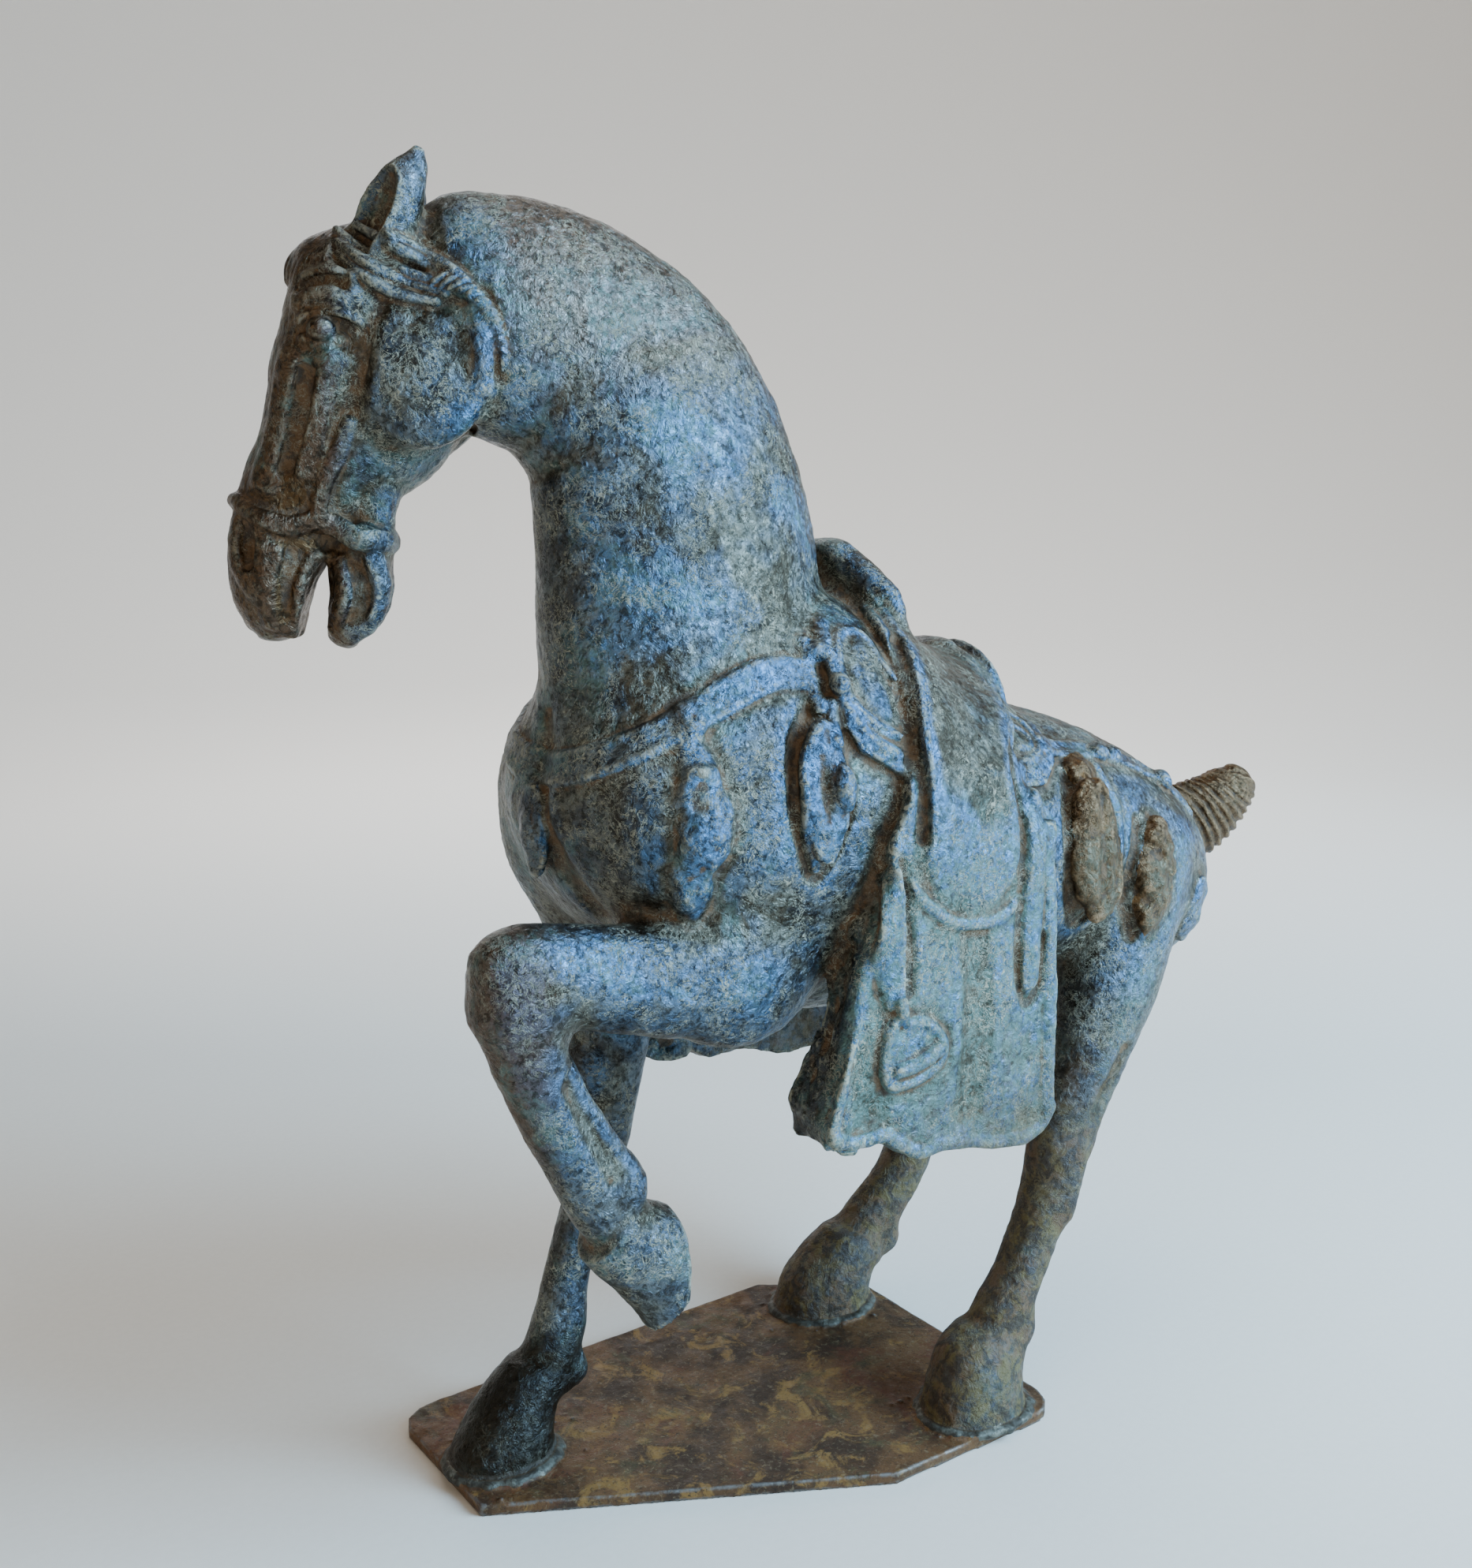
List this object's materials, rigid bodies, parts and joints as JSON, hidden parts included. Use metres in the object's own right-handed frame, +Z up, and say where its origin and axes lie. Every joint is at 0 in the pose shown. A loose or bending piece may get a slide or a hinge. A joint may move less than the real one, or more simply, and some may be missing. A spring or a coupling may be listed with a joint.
{
  "type": "bronze horse statue",
  "caption": "Cast bronze statuette of a prancing saddled horse with its head turned, standing on a thin base plate.",
  "frame": {"origin": "middle of the base plate's underside, on the surface that the statue stands on", "axes": "+Z up, the horse faces -X, its left side is -Y"},
  "size_m": [0.4192, 0.141, 0.4305],
  "materials": {
    "bronze": "patinated cast bronze, slate blue-grey with cream and verdigris mottling, satin",
    "brown_bronze": "patinated cast bronze, brown and ochre, satin",
    "base_plate": "dark umber plate with olive and rust patches, matt",
    "weld": "bright weld metal, lightly tarnished"
  },
  "bodies": {
    "root": {"base_plate": "base_plate", "breast_strap": "bronze", "centre_chest_pendant": "bronze", "forelock": "bronze", "head": "bronze", "left_bit_ring": "bronze", "left_breast_boss": "bronze", "left_cheek_strap": "bronze", "left_chest_pendant": "bronze", "left_croup_pendant": "brown_bronze", "left_crupper_boss": "bronze", "left_crupper_strap": "bronze", "left_ear": "bronze", "left_fore_cannon": "bronze", "left_fore_hoof": "bronze", "left_forearm": "bronze", "left_hind_hoof": "bronze", "left_hind_leg": "bronze", "left_hind_weld": "weld", "left_mudguard": "bronze", "left_rump_pendant": "bronze", "left_saddle_skirt": "bronze", "left_saddle_thong": "bronze", "left_shoulder_pendant": "bronze", "left_side_lock": "bronze", "left_stirrup": "bronze", "left_stirrup_leather": "bronze", "left_thigh_pendant": "brown_bronze", "lower_jaw": "bronze", "neck": "bronze", "noseband": "bronze", "right_bit_ring": "bronze", "right_breast_boss": "bronze", "right_cheek_strap": "bronze", "right_chest_pendant": "bronze", "right_croup_pendant": "brown_bronze", "right_crupper_boss": "bronze", "right_crupper_strap": "bronze", "right_ear": "bronze", "right_fore_hoof": "bronze", "right_fore_weld": "weld", "right_foreleg": "bronze", "right_hind_hoof": "bronze", "right_hind_leg": "bronze", "right_hind_weld": "weld", "right_mudguard": "bronze", "right_rump_pendant": "bronze", "right_saddle_skirt": "bronze", "right_saddle_thong": "bronze", "right_shoulder_pendant": "bronze", "right_side_lock": "bronze", "right_stirrup": "bronze", "right_stirrup_leather": "bronze", "right_thigh_pendant": "brown_bronze", "saddle_cantle": "bronze", "saddle_cloth": "bronze", "saddle_pommel": "bronze", "saddle_seat": "bronze", "tail": "brown_bronze", "torso": "bronze"}
  },
  "joints": []
}
